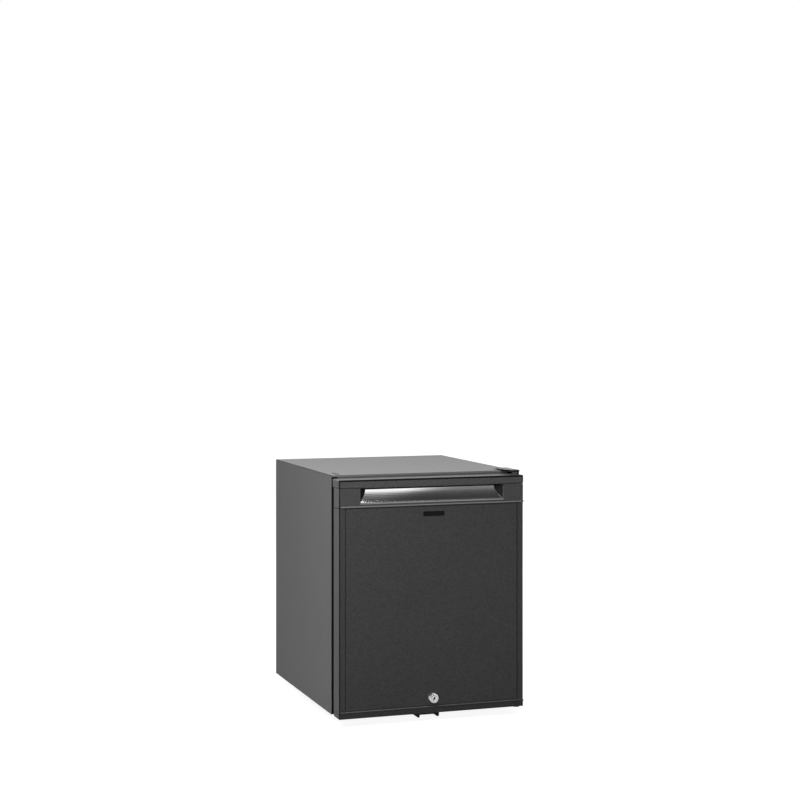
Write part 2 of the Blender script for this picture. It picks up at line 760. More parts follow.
def foot(name, x, y):
    """A round rubber foot with a softened sole."""
    top = FOOT_HEIGHT - SEAT
    collar = top - FOOT_COLLAR
    profile = [
        (0.0, top), (FOOT_RADIUS, top), (FOOT_RADIUS, collar),
        (FOOT_RADIUS * 0.86, collar - FOOT_SHOULDER), (FOOT_RADIUS * 0.82, FOOT_SHOULDER),
        (FOOT_RADIUS * 0.74, 0.0), (0.0, 0.0)]
    return add_turned(name, profile, (x, y, 0), (0, 0, 1), "black_rubber", sides=20)


def rear_crossbar():
    """The strip that ties the side panels together at the foot of the rear bay."""
    back = CABINET_BACK - SHEET - SEAT
    return add_box(
        "rear_crossbar", (-INSIDE_X, back - SHEET, CABINET_BOTTOM + SHEET),
        (INSIDE_X, back, CABINET_BOTTOM + SHEET + CROSSBAR_HEIGHT), "cabinet_paint")


def cabinet():
    """Every fixed sheet, the insulated box and the feet."""
    holes = wall_holes()
    side_panel("left_side_panel", -1)
    side_panel("right_side_panel", 1)
    top_panel()
    base_panel()
    front_collar()
    rear_panel(holes)
    insulation_foam(holes)
    inner_liner(holes)
    rear_crossbar()
    front = CABINET_FRONT + FOOT_INSET_FRONT
    rear = PANEL_OUTER - FOOT_INSET_REAR
    across = HALF - FOOT_INSET_X
    foot("foot_front_left", -across, front)
    foot("foot_front_right", across, front)
    foot("foot_rear_left", -across, rear)
    foot("foot_rear_right", across, rear)


# Hinges and striker

def hinge_outline():
    """The hinge plate seen from above: a seat on the cabinet and a round-ended arm to the pin."""
    seat_left = HINGE_X + HINGE_ARM_RADIUS - HINGE_PLATE_WIDTH
    seat_right = HINGE_X + HINGE_ARM_RADIUS
    seat_front = CABINET_FRONT + PLATE_SETBACK
    outline = [
        (seat_right, seat_front + HINGE_PLATE_DEPTH), (seat_left, seat_front + HINGE_PLATE_DEPTH),
        (seat_left, seat_front)]
    for step in range(9):
        angle = math.pi * (1 + step / 8)
        outline.append((
            HINGE_X + HINGE_ARM_RADIUS * math.cos(angle), HINGE_Y + HINGE_ARM_RADIUS * math.sin(angle)))
    return outline


def upper_hinge():
    """The upper hinge: a plate on the cabinet's top whose pin hangs into the door's cap."""
    bottom = CABINET_TOP + SEAT
    plate = add_outline(
        "upper_hinge", [hinge_outline()], HINGE_PLATE, (0, 0, bottom + HINGE_PLATE / 2),
        finish="cabinet_paint")
    pin = add_rods("upper_pin", [
        ((HINGE_X, HINGE_Y, DOOR_TOP - BUSH_DEPTH + SHEET),
         (HINGE_X, HINGE_Y, bottom + HINGE_PLATE / 2))], PIN_RADIUS, 16)
    head = add_rods("upper_pin_head", [
        ((HINGE_X, HINGE_Y, bottom + HINGE_PLATE / 2),
         (HINGE_X, HINGE_Y, bottom + HINGE_PLATE + PIN_HEAD_HEIGHT))], PIN_HEAD_RADIUS, 20)
    round_edges(head, PIN_HEAD_HEIGHT / 2)
    return fuse(plate, pin, head)


def lower_hinge():
    """The lower hinge: a plate under the cabinet whose pin carries the door's lower corner."""
    top = DOOR_BOTTOM - LOWER_PLATE_GAP
    middle = top - LOWER_PLATE / 2
    plate = add_outline(
        "lower_hinge", [hinge_outline()], LOWER_PLATE, (0, 0, middle), finish="black_steel")
    pin = add_rods("lower_pin", [
        ((HINGE_X, HINGE_Y, middle), (HINGE_X, HINGE_Y, DOOR_BOTTOM + BUSH_DEPTH))], PIN_RADIUS, 16)
    right = HINGE_X + HINGE_ARM_RADIUS
    pad = add_box(
        "lower_hinge_pad",
        (right - HINGE_PLATE_WIDTH + SHEET, CABINET_FRONT + PAD_SETBACK, middle),
        (right - SHEET, CABINET_FRONT + HINGE_PLATE_DEPTH, CABINET_BOTTOM - SEAT))
    return fuse(plate, pin, pad)


def bush(name, mouth_z, direction, axis):
    """A flanged hinge bush whose flange lies outside the door and whose sleeve goes in."""
    bore = PIN_RADIUS + RUNNING
    gap = LOWER_PLATE_GAP if direction > 0 else CABINET_TOP - DOOR_TOP
    flange = gap - 2 * SEAT
    profile = [
        (bore, BUSH_DEPTH), (BUSH_RADIUS, BUSH_DEPTH), (BUSH_RADIUS, -SEAT),
        (BUSH_FLANGE_RADIUS, -SEAT), (BUSH_FLANGE_RADIUS, -SEAT - flange), (bore, -SEAT - flange)]
    return add_turned(
        name, profile, (HINGE_X, HINGE_Y, mouth_z), (0, 0, direction), "nylon", axis, 20, closed=True)


def lock_striker():
    """The channel under the door that the lock's cam drops into, screwed to the base."""
    top = DOOR_BOTTOM - SWING
    front = DOOR_FRONT + STRIKER_FRONT
    back = CABINET_FRONT + STRIKER_SEAT
    half = STRIKER_WIDTH / 2
    tip = CABINET_BOTTOM - STRIKER_DROP
    wall = CAM_THICKNESS
    striker = add_outline(
        "lock_striker", [[(front, top), (front, tip + STRIKER_LIP / 2), (front + STRIKER_LEAN, tip),
                          (back - STRIKER_RAMP, tip), (back, top - STRIKER_LEAN), (back, top)]],
        STRIKER_WIDTH, (0, 0, 0), (math.pi / 2, 0, math.pi / 2), "black_steel")
    hollow = add_box(
        "striker_hollow", (-half + wall, front + wall, tip - wall), (half - wall, back + wall, top - wall))
    mouth = add_box(
        "striker_mouth", (-half + wall, front - wall, tip - wall),
        (half - wall, front + 2 * wall, tip + STRIKER_LIP))
    drop = LOCK_Z - top
    reach = math.sqrt(CAM_REACH ** 2 - drop ** 2) + SHEET
    slot_y = CAM_Y + CAM_THICKNESS / 2
    slot = add_box(
        "striker_slot", (-CAM_WIDTH / 2 - SHEET, slot_y - CAM_POCKET / 2, tip),
        (reach, slot_y + CAM_POCKET / 2, top + wall))
    pad = add_box(
        "striker_pad", (-half + SHEET, CABINET_FRONT + PAD_SETBACK, top - wall / 2),
        (half - SHEET, back - SHEET, CABINET_BOTTOM - SEAT))
    return fuse(cut(striker, hollow, mouth, slot), pad)


# Door

def scoop_solid(name, offset):
    """The finger space of the handle, grown on every side by an offset.

    Its section climbs from the lower lip in a quarter wave to full depth, goes on straight up
    behind the cap's front wall, and its ends slope at 45 degrees.
    """
    lip = MOULDING_BOTTOM + SCOOP_LIP
    roof = DOOR_TOP - CAP_ROOF
    front = -2 * FRAME_WALL
    brow = (CAP_BOTTOM + MOULDING_TOP) / 2
    section = [(front, lip - offset)]
    for step in range(SCOOP_STEPS + 1):
        part = step / SCOOP_STEPS
        depth = SCOOP_DEPTH * math.sin(part * math.pi / 2)
        lean = SCOOP_DEPTH * math.pi / 2 * math.cos(part * math.pi / 2)
        length = math.hypot(SCOOP_RISE, lean)
        section.append((
            depth + offset * SCOOP_RISE / length, lip + SCOOP_RISE * part - offset * lean / length))
    section += [
        (SCOOP_DEPTH + offset, roof + offset), (CAP_FRONT_WALL - offset, roof + offset),
        (CAP_FRONT_WALL - offset, brow), (front, brow)]

    def build(work):
        ends = []
        for side in (-1, 1):
            ring = []
            for depth, height in section:
                half = SCOOP_HALF_WIDTH + offset - depth
                ring.append(work.verts.new((side * half, DOOR_FRONT + depth, height)))
            ends.append(work.faces.new(ring))
        for face in ends:
            face.normal_update()
        bmesh.ops.bridge_loops(work, edges=[edge for face in ends for edge in face.edges])
        bmesh.ops.recalc_face_normals(work, faces=work.faces)
    return add(name, mesh_from(build), None)


def door_cap(scoop, axis):
    """The thick strip along the door's top, hollow behind its front wall for the fingers."""
    cap = add_box(
        "door_cap", (-HALF, DOOR_FRONT, CAP_BOTTOM), (HALF, DOOR_BACK + CAP_OVERHANG, DOOR_TOP),
        "frame_plastic", axis)
    socket = add_rods("cap_socket", [
        ((HINGE_X, HINGE_Y, DOOR_TOP - BUSH_DEPTH - SEAT), (HINGE_X, HINGE_Y, DOOR_TOP + SHEET))],
        BUSH_RADIUS + SEAT, 20)
    round_edges(cap, 2 * FRAME_EDGE)
    return cut(cap, scoop, socket)


def handle_moulding(scoop, axis):
    """The one-piece handle moulding: a thin front with a deep scoop and a bead along its foot."""
    moulding = add_box(
        "handle_moulding", (-DOOR_HALF, DOOR_FRONT, MOULDING_BOTTOM), (DOOR_HALF, DOOR_BACK, MOULDING_TOP),
        "frame_plastic", axis, edge=FRAME_EDGE)
    foot_z = MOULDING_BOTTOM + BEAD_SETBACK
    bead = add_box(
        "moulding_bead", (-HALF, DOOR_FRONT - BEAD_PROUD, foot_z),
        (HALF, DOOR_BACK - BEAD_SETBACK, foot_z + BEAD_HEIGHT), edge=BEAD_EDGE)
    hollow = add_box(
        "moulding_hollow",
        (-DOOR_HALF + FRAME_WALL, DOOR_FRONT + FRAME_WALL, MOULDING_BOTTOM - FRAME_WALL),
        (DOOR_HALF - FRAME_WALL, DOOR_BACK + FRAME_WALL, MOULDING_TOP + FRAME_WALL))
    cut(hollow, scoop_solid("scoop_wall", FRAME_WALL))
    fuse(moulding, bead)
    return cut(moulding, hollow, scoop)


def side_profile(name, side, axis):
    """An upright of the door frame: an angle with a rounded front corner."""
    outer = side * DOOR_HALF
    inner = side * (DOOR_HALF - FRAME_WALL)
    edge = side * (DOOR_HALF - PROFILE_FACE)
    corner = []
    for step in range(5):
        angle = math.pi / 2 * step / 4
        corner.append((
            outer - side * PROFILE_CORNER * (1 - math.sin(angle)),
            DOOR_FRONT + PROFILE_CORNER * (1 - math.cos(angle))))
    outline = [(edge, DOOR_FRONT)] + corner + [
        (outer, DOOR_BACK), (inner, DOOR_BACK),
        (inner, DOOR_FRONT + FRAME_WALL), (edge, DOOR_FRONT + FRAME_WALL)]
    height = PROFILE_TOP - PROFILE_BOTTOM
    return add_outline(
        name, [outline], height, (0, 0, PROFILE_BOTTOM + height / 2), finish="frame_plastic", parent=axis)


def bottom_profile(axis):
    """The foot of the door frame, with a bead, the cam's slot and the lower hinge hole."""
    top = DOOR_BOTTOM + BOTTOM_PROFILE_HEIGHT
    profile = add_box(
        "door_bottom_profile", (-DOOR_HALF, DOOR_FRONT, DOOR_BOTTOM), (DOOR_HALF, DOOR_BACK, top),
        "frame_plastic", axis, edge=FRAME_EDGE)
    bead = add_box(
        "bottom_bead", (-HALF, DOOR_FRONT - BEAD_PROUD, top - BEAD_SETBACK - BEAD_HEIGHT),
        (HALF, DOOR_BACK - BEAD_SETBACK, top - BEAD_SETBACK), edge=BEAD_EDGE)
    hollow = add_box(
        "bottom_hollow", (-DOOR_HALF + FRAME_WALL, DOOR_FRONT + FRAME_WALL, DOOR_BOTTOM + FRAME_WALL),
        (DOOR_HALF - FRAME_WALL, DOOR_BACK + FRAME_WALL, top + FRAME_WALL))
    drop = LOCK_Z - DOOR_BOTTOM - FRAME_WALL
    reach = math.sqrt(CAM_REACH ** 2 - drop ** 2) + SHEET
    slot_y = CAM_Y + CAM_THICKNESS / 2
    slot = add_box(
        "bottom_slot", (-CAM_WIDTH / 2 - SHEET, slot_y - CAM_POCKET / 2, DOOR_BOTTOM - FRAME_WALL),
        (reach, slot_y + CAM_POCKET / 2, DOOR_BOTTOM + 2 * FRAME_WALL))
    hole = add_rods("bottom_hinge_hole", [
        ((HINGE_X, HINGE_Y, DOOR_BOTTOM - FRAME_WALL), (HINGE_X, HINGE_Y, DOOR_BOTTOM + 2 * FRAME_WALL))],
        BUSH_RADIUS + SEAT, 20)
    return cut(fuse(profile, bead), hollow, slot, hole)


def door_panel(axis):
    """The inset front panel, whose thin margin tucks behind the frame."""
    groove = PANEL_GROOVE
    left = DOOR_HALF - PROFILE_FACE - groove
    bottom = DOOR_BOTTOM + BOTTOM_PROFILE_HEIGHT + groove
    top = MOULDING_BOTTOM - groove
    panel = add_box(
        "door_panel", (-left, PANEL_FRONT, bottom), (left, PANEL_STEP + PANEL_BACKING / 2, top),
        "panel_film", axis)
    margin = add_box(
        "panel_margin", (-left - PANEL_TUCK - groove, PANEL_STEP, bottom - PANEL_TUCK - groove),
        (left + PANEL_TUCK + groove, PANEL_BACK, top + PANEL_TUCK + groove))
    hole = add_rods("panel_lock_hole", [
        ((0, DOOR_FRONT - SHEET, LOCK_Z), (0, PANEL_BACK + SHEET, LOCK_Z))], LOCK_BODY_RADIUS + SEAT, 24)
    return cut(fuse(panel, margin), hole)


def door_core(axis):
    """The foam filling of the door, cut out for the scoop, the lock, its cam and the hinge bush."""
    core = add_box(
        "door_core", (-FILL_HALF, PANEL_BACK + SEAT, FILL_BOTTOM),
        (FILL_HALF, LINER_INNER - SEAT, CAP_BOTTOM - 2 * SEAT), "foam", axis)
    well = add_rods("lock_well", [
        ((0, DOOR_FRONT, LOCK_Z), (0, CAM_Y, LOCK_Z))], LOCK_NUT_RADIUS + SHEET, 24)
    slot_y = CAM_Y + CAM_THICKNESS / 2
    pocket = add_box(
        "cam_pocket", (-CAM_WIDTH / 2 - SHEET, slot_y - CAM_POCKET / 2, DOOR_BOTTOM),
        (CAM_REACH + SHEET, slot_y + CAM_POCKET / 2, LOCK_Z + CAM_WIDTH / 2 + SHEET))
    hole = add_rods("core_hinge_hole", [
        ((HINGE_X, HINGE_Y, DOOR_BOTTOM), (HINGE_X, HINGE_Y, DOOR_BOTTOM + BUSH_DEPTH + SHEET))],
        BUSH_RADIUS + SEAT, 20)
    return cut(core, scoop_solid("scoop_in_foam", FRAME_WALL + SEAT), well, pocket, hole)


def door_liner(axis):
    """The white inner door sheet, with side cheeks that carry the bins and low ribs between."""
    liner = add_box(
        "door_liner", (-FILL_HALF, LINER_INNER, FILL_BOTTOM), (FILL_HALF, LINER_FACE, CAP_BOTTOM - 2 * SEAT),
        "liner_white", axis)
    low = CAVITY_BOTTOM + CHEEK_CLEARANCE
    high = CAVITY_TOP - HOUSING_HEIGHT - LENS_THICKNESS - CHEEK_CLEARANCE
    start = LINER_FACE - DOOR_LINER_SHEET / 2
    cheeks = add_boxes("door_cheeks", [
        ((-CHEEK_OUTER, start, low), (-CHEEK_INNER, LINER_FACE + CHEEK_DEPTH, high)),
        ((CHEEK_INNER, start, low), (CHEEK_OUTER, LINER_FACE + CHEEK_DEPTH, high))])
    round_edges(cheeks, CHEEK_EDGE)
    span = CHEEK_OUTER - CHEEK_WIDTH / 2
    dike = LINER_FACE + DIKE_DEPTH
    ribs = add_boxes("door_dikes", [
        ((-span, start, low), (span, dike, low + LOWER_DIKE)),
        ((-span, start, high - UPPER_DIKE), (span, dike, high))])
    corners = []
    for base in BIN_BASES:
        lug_bottom = base + BIN_LUG_RISE - SEAT
        lug_front = LINER_FACE + CHEEK_WIDTH / 2
        for side in (-1, 1):
            reach = sorted((side * (BIN_HALF_WIDTH + 2 * SHEET), side * (CHEEK_INNER + SHEET)))
            corners.append((
                (reach[0], start, lug_bottom - BIN_LEDGE),
                (reach[1], lug_front + BIN_LUG_DEPTH + SEAT + SHEET, lug_bottom)))
    ledges = add_boxes("bin_ledges", corners)
    return fuse(liner, cheeks, ribs, ledges)


def door_gasket(axis):
    """The magnetic gasket between the door and the collar, pinched in along its middle."""
    low = (-HALF + GASKET_OUTER_INSET, CABINET_BOTTOM + GASKET_BOTTOM)
    high = (HALF - GASKET_OUTER_INSET, CAP_BOTTOM - SHEET)
    depth = DOOR_GAP - 2 * SEAT
    gasket = add_outline(
        "door_gasket", [
            rounded_rectangle(low, high, GASKET_CORNER),
            rounded_rectangle(
                (low[0] + GASKET_WIDTH, low[1] + GASKET_WIDTH),
                (high[0] - GASKET_WIDTH, high[1] - GASKET_WIDTH), GASKET_INNER_CORNER)],
        depth, (0, DOOR_BACK + SEAT + depth / 2, 0), (math.pi / 2, 0, 0), "black_rubber", axis)
    waist = add_outline(
        "gasket_waist", [
            rounded_rectangle(
                (low[0] - GASKET_WIDTH, low[1] - GASKET_WIDTH),
                (high[0] + GASKET_WIDTH, high[1] + GASKET_WIDTH), GASKET_CORNER),
            rounded_rectangle(
                (low[0] + GASKET_WAIST, low[1] + GASKET_WAIST),
                (high[0] - GASKET_WAIST, high[1] - GASKET_WAIST), GASKET_CORNER - GASKET_WAIST)],
        depth / 3, (0, DOOR_BACK + SEAT + depth / 2, 0), (math.pi / 2, 0, 0))
    return cut(gasket, waist)


def lock_barrel(axis):
    """The fixed lock body: a chromed bezel standing proud of the panel and a threaded sleeve."""
    bore = LOCK_CYLINDER_RADIUS + RUNNING
    face = LOCK_REACH
    profile = [
        (bore, face), (LOCK_FACE_RADIUS - LOCK_CHAMFER, face), (LOCK_FACE_RADIUS, face - LOCK_CHAMFER),
        (LOCK_FACE_RADIUS, SEAT - PANEL_RECESS), (LOCK_BODY_RADIUS, SEAT - PANEL_RECESS),
        (LOCK_BODY_RADIUS, -LOCK_LENGTH + SHEET), (bore, -LOCK_LENGTH + SHEET)]
    return add_turned(
        "lock_barrel", profile, (0, DOOR_FRONT, LOCK_Z), (0, -1, 0), "chrome", axis, 28, closed=True)


def lock_nut(axis):
    """The hexagonal nut that clamps the lock behind the panel."""
    return add_outline(
        "lock_nut", [circle(LOCK_NUT_RADIUS, 6), circle(LOCK_BODY_RADIUS + SEAT, 20)], LOCK_NUT_THICKNESS,
        (0, PANEL_BACK + SEAT + LOCK_NUT_THICKNESS / 2, LOCK_Z), (math.pi / 2, 0, 0), "zinc_sheet", axis)


def lock_cylinder(axis):
    """The turning plug of the lock, with its keyway."""
    face = LOCK_REACH - SEAT
    profile = [
        (0.0, face), (LOCK_CYLINDER_RADIUS - SEAT, face), (LOCK_CYLINDER_RADIUS, face - SEAT),
        (LOCK_CYLINDER_RADIUS, -LOCK_LENGTH), (0.0, -LOCK_LENGTH)]
    plug = add_turned(
        "lock_cylinder", profile, (0, DOOR_FRONT, LOCK_Z), (0, -1, 0), "chrome", axis, 24)
    key = add_box(
        "keyway", (-KEYWAY_WIDTH / 2, -KEYWAY_DEPTH, -KEYWAY_LENGTH / 2),
        (KEYWAY_WIDTH / 2, KEYWAY_DEPTH, KEYWAY_LENGTH / 2))
    key.location = (0, DOOR_FRONT - LOCK_REACH, LOCK_Z)
    key.rotation_euler = (0, math.radians(KEYWAY_TILT), 0)
    return cut(plug, key)


def lock_cam(axis):
    """The flat cam on the plug's inner end, which lies level when unlocked."""
    reach = CAM_REACH - CAM_WIDTH / 2
    outline = []
    for centre, start in ((0.0, math.pi / 2), (reach, -math.pi / 2)):
        for step in range(7):
            angle = start + math.pi * step / 6
            outline.append((
                centre + CAM_WIDTH / 2 * math.cos(angle), CAM_WIDTH / 2 * math.sin(angle)))
    return add_outline(
        "lock_cam", [outline], CAM_THICKNESS, (0, CAM_Y + CAM_THICKNESS / 2, LOCK_Z),
        (math.pi / 2, 0, 0), "zinc_sheet", axis)


def door_bin(name, base, height, axis):
    """An open bottle bin with windows in its front and a lug at each end to hang by."""
    back = LINER_FACE + SEAT
    front = back + BIN_DEPTH
    outline = rounded_rectangle((-BIN_HALF_WIDTH, back), (BIN_HALF_WIDTH, front), BIN_CORNER)
    inner = rounded_rectangle(
        (-BIN_HALF_WIDTH + BIN_WALL, back + BIN_WALL), (BIN_HALF_WIDTH - BIN_WALL, front - BIN_WALL),
        BIN_CORNER - BIN_WALL)
    bin_shell = add_outline(
        name, [outline], height, (0, 0, base + height / 2), finish="bin_plastic", parent=axis)
    hollow = add_outline(name + "_hollow", [inner], height, (0, 0, base + BIN_WALL + height / 2))
    reach = BIN_HALF_WIDTH - 2 * BIN_CORNER
    pitch = 2 * reach / BIN_WINDOWS
    windows = add_boxes(name + "_windows", [
        ((-reach + pitch * index + BIN_WALL, front - 2 * BIN_WALL, base + height * BIN_WINDOW_SPAN[0]),
         (-reach + pitch * (index + 1) - BIN_WALL, front + BIN_WALL, base + height * BIN_WINDOW_SPAN[1]))
        for index in range(BIN_WINDOWS)])
    lug_low = LINER_FACE + CHEEK_WIDTH / 2
    lug_reach = CHEEK_INNER - SHEET / 2
    corners = []
    for side in (-1, 1):
        span = sorted((side * (BIN_HALF_WIDTH - BIN_WALL / 2), side * lug_reach))
        corners.append((
            (span[0], lug_low + BIN_CORNER / 2, base + BIN_LUG_RISE),
            (span[1], lug_low + BIN_CORNER / 2 + BIN_LUG_DEPTH, base + BIN_LUG_RISE + BIN_LUG_HEIGHT)))
    lugs = add_boxes(name + "_lugs", corners)
    return fuse(cut(bin_shell, hollow, windows), lugs)


def door(hinge, lock_axis, bin_axes):
    """Every piece that swings with the door."""
    scoop = scoop_solid("scoop", 0.0)
    door_cap(scoop, hinge)
    handle_moulding(scoop, hinge)
    side_profile("door_profile_left", -1, hinge)
    side_profile("door_profile_right", 1, hinge)
    bottom_profile(hinge)
    door_panel(hinge)
    door_core(hinge)
    door_liner(hinge)
    door_gasket(hinge)
    bush("upper_hinge_bush", DOOR_TOP, -1, hinge)
    bush("lower_hinge_bush", DOOR_BOTTOM, 1, hinge)
    lock_barrel(hinge)
    lock_nut(hinge)
    lock_cylinder(lock_axis)
    lock_cam(lock_axis)
    names = ("lower_door_bin", "upper_door_bin")
    heights = (LOWER_BIN_HEIGHT, UPPER_BIN_HEIGHT)
    for name, base, height, axis in zip(names, BIN_BASES, heights, bin_axes):
        door_bin(name, base, height, axis)


# Fittings inside the cavity

def wire_shelf(name, level, axis):
    """A coated wire shelf: a bent frame with rods from front to back."""
    reach = CAVITY_X - SHELF_SIDE_CLEARANCE - SHELF_WIRE
    front = CABINET_FRONT + SHELF_FRONT_SETBACK + SHELF_WIRE
    back = CAVITY_BACK - SHELF_REAR_GAP - SHELF_WIRE
    centre = level + SEAT + SHELF_WIRE
    loop = [(x, y, centre) for x, y in rounded_rectangle((-reach, front), (reach, back), SHELF_CORNER)]
    shelf = add_tube(name, loop, SHELF_WIRE, "shelf_wire", axis, cyclic=True)
    pitch = 2 * reach / (SHELF_ROD_COUNT + 1)
    rod_z = centre + SHELF_WIRE - SHELF_ROD / 2
    rods = add_rods(name + "_rods", [
        ((-reach + pitch * (index + 1), front, rod_z), (-reach + pitch * (index + 1), back, rod_z))
        for index in range(SHELF_ROD_COUNT)], SHELF_ROD, 8)
    return fuse(shelf, rods)


def evaporator():
    """The finned evaporator block, seated on the cavity's rear wall."""
    back = CAVITY_BACK - SEAT
    root = back - EVAPORATOR_BASE
    tip = root - FIN_DEPTH
    pitch = (2 * EVAPORATOR_HALF_WIDTH - FIN_THICKNESS) / (FIN_COUNT - 1)
    outline = [(EVAPORATOR_HALF_WIDTH, back), (-EVAPORATOR_HALF_WIDTH, back)]
    for index in range(FIN_COUNT):
        left = -EVAPORATOR_HALF_WIDTH + pitch * index
        right = left + FIN_THICKNESS
        outline += [(left, root), (left, tip), (right, tip), (right, root)]
    outline.pop(2)
    outline.pop()
    return add_outline(
        "evaporator", [outline], EVAPORATOR_HEIGHT, (0, 0, EVAPORATOR_BOTTOM + EVAPORATOR_HEIGHT / 2),
        finish="aluminium")


def drip_tray():
    """The shallow tray that catches the evaporator's meltwater."""
    front = TRAY_BACK - TRAY_DEPTH
    tray = add_box(
        "drip_tray", (-TRAY_HALF_WIDTH, front, TRAY_BOTTOM), (TRAY_HALF_WIDTH, TRAY_BACK, TRAY_TOP),
        "liner_white", edge=TRAY_EDGE)
    inside = TRAY_HALF_WIDTH - TRAY_WALL
    hollow = add_box(
        "tray_hollow", (-inside, front + TRAY_WALL, TRAY_BOTTOM + TRAY_WALL),
        (inside, TRAY_BACK - TRAY_WALL, TRAY_TOP + TRAY_WALL))
    outlet = add_rods("tray_outlet", [
        ((DRAIN_X, TRAY_BACK - 3 * TRAY_WALL, DRAIN_Z), (DRAIN_X, TRAY_BACK + TRAY_WALL, DRAIN_Z))],
        DRAIN_RADIUS + SEAT, 16)
    return cut(tray, hollow, outlet)


def lamp_housing():
    """The grey housing under the cavity's roof that holds the lamp, thermostat and door switch."""
    top = CAVITY_TOP - SEAT
    front = CABINET_FRONT + HOUSING_SETBACK
    housing = add_box(
        "lamp_housing", (HOUSING_LEFT, front, top - HOUSING_HEIGHT),
        (HOUSING_RIGHT, front + HOUSING_DEPTH, top), "grey_plastic", edge=HOUSING_EDGE)
    plunger_end = front + PLUNGER_SEATED + PLUNGER_TRAVEL + SHEET
    plunger_bore = add_rods("plunger_bore", [
        ((PLUNGER_X, front - SHEET, CONTROLS_Z), (PLUNGER_X, plunger_end, CONTROLS_Z))],
        PLUNGER_RADIUS + RUNNING, 16)
    knob_bore = add_rods("knob_bore", [
        ((KNOB_X, front - SHEET, CONTROLS_Z), (KNOB_X, front + KNOB_SHAFT_LENGTH + SHEET, CONTROLS_Z))],
        KNOB_SHAFT_RADIUS + RUNNING, 16)
    return cut(housing, plunger_bore, knob_bore)


def lamp_lens():
    """The frosted lens under the housing."""
    top = CAVITY_TOP - HOUSING_HEIGHT - 2 * SEAT
    front = CABINET_FRONT + HOUSING_SETBACK
    return add_box(
        "lamp_lens", (HOUSING_LEFT + LENS_INSET, front + 2 * LENS_INSET, top - LENS_THICKNESS),
        (HOUSING_RIGHT - LENS_INSET, front + HOUSING_DEPTH - LENS_INSET, top), "lens_plastic",
        edge=LENS_EDGE)


def thermostat_knob(axis):
    """The thermostat's ribbed knob with its shaft and a raised pointer."""
    front = CABINET_FRONT + HOUSING_SETBACK
    profile = [
        (0.0, KNOB_LENGTH), (KNOB_RADIUS - KNOB_TAPER - KNOB_CHAMFER, KNOB_LENGTH),
        (KNOB_RADIUS - KNOB_TAPER, KNOB_LENGTH - KNOB_CHAMFER),
        (KNOB_RADIUS, SEAT), (KNOB_SHAFT_RADIUS, SEAT), (KNOB_SHAFT_RADIUS, -KNOB_SHAFT_LENGTH),
        (0.0, -KNOB_SHAFT_LENGTH)]
    knob = add_turned(
        "thermostat_knob", profile, (KNOB_X, front, CONTROLS_Z), (0, -1, 0), "grey_plastic", axis, 24)
    pointer = add_box(
        "knob_pointer", (KNOB_X - POINTER_HALF_WIDTH, front - KNOB_LENGTH - KNOB_TAPER, CONTROLS_Z),
        (KNOB_X + POINTER_HALF_WIDTH, front - KNOB_LENGTH / 2, CONTROLS_Z + KNOB_RADIUS - 2 * KNOB_CHAMFER))
    return fuse(knob, pointer)


def door_switch(axis):
    """The lamp switch's plunger, which reaches forward to the closed door."""
    front = CABINET_FRONT + HOUSING_SETBACK
    reach = front - LINER_FACE - PLUNGER_GAP
    profile = [
        (0.0, reach), (PLUNGER_RADIUS * 0.6, reach - SEAT), (PLUNGER_RADIUS, reach - PLUNGER_RADIUS / 2),
        (PLUNGER_RADIUS, -PLUNGER_SEATED), (0.0, -PLUNGER_SEATED)]
    return add_turned(
        "door_switch_plunger", profile, (PLUNGER_X, front, CONTROLS_Z), (0, -1, 0), "liner_white", axis, 16)


# Absorption cooling unit

def boiler():
    """The boiler: a sheet casing round the boiler tube and its electric cartridge."""
    base = CABINET_BOTTOM + BOILER_BASE
    top = base + BOILER_HEIGHT
    bore = BOILER_TUBE_RADIUS + SEAT
    inside = BOILER_RADIUS - BOILER_SHEET
    profile = [
        (bore, top), (BOILER_RADIUS - BOILER_SHOULDER, top), (BOILER_RADIUS, top - BOILER_SHOULDER),
        (BOILER_RADIUS, base), (bore, base), (bore, base + BOILER_SHEET), (inside, base + BOILER_SHEET),
        (inside, top - BOILER_SHOULDER), (BOILER_RADIUS - BOILER_SHOULDER, top - BOILER_SHEET),
        (bore, top - BOILER_SHEET)]
    add_turned(
        "boiler_casing", profile, (BOILER_X, UNIT_Y, 0), (0, 0, 1), "zinc_sheet", sides=24, closed=True)
    add_rods(
        "boiler_tube", [((BOILER_X, UNIT_Y, base), (BOILER_X, UNIT_Y, top + BOILER_TUBE_STUB))],
        BOILER_TUBE_RADIUS, 16, "black_steel")
    beside = BOILER_X - BOILER_TUBE_RADIUS - HEATER_RADIUS - SEAT
    start = base + BOILER_SHEET + SEAT
    add_rods(
        "heater_cartridge", [((beside, UNIT_Y, start), (beside, UNIT_Y, start + HEATER_LENGTH))],
        HEATER_RADIUS, 12, "chrome")


def vapour_pipe():
    """The pipe that carries ammonia vapour from the boiler up and over to the condenser."""
    start = CABINET_BOTTOM + BOILER_BASE + BOILER_HEIGHT + BOILER_TUBE_STUB + SEAT
    return add_tube("vapour_pipe", bent_route([
        (BOILER_X, UNIT_Y, start), (BOILER_X, UNIT_Y, CONDENSER_Z),
        (CONDENSER_RIGHT + SEAT, UNIT_Y, CONDENSER_Z)], VAPOUR_BEND), VAPOUR_RADIUS, "black_steel", sides=10)


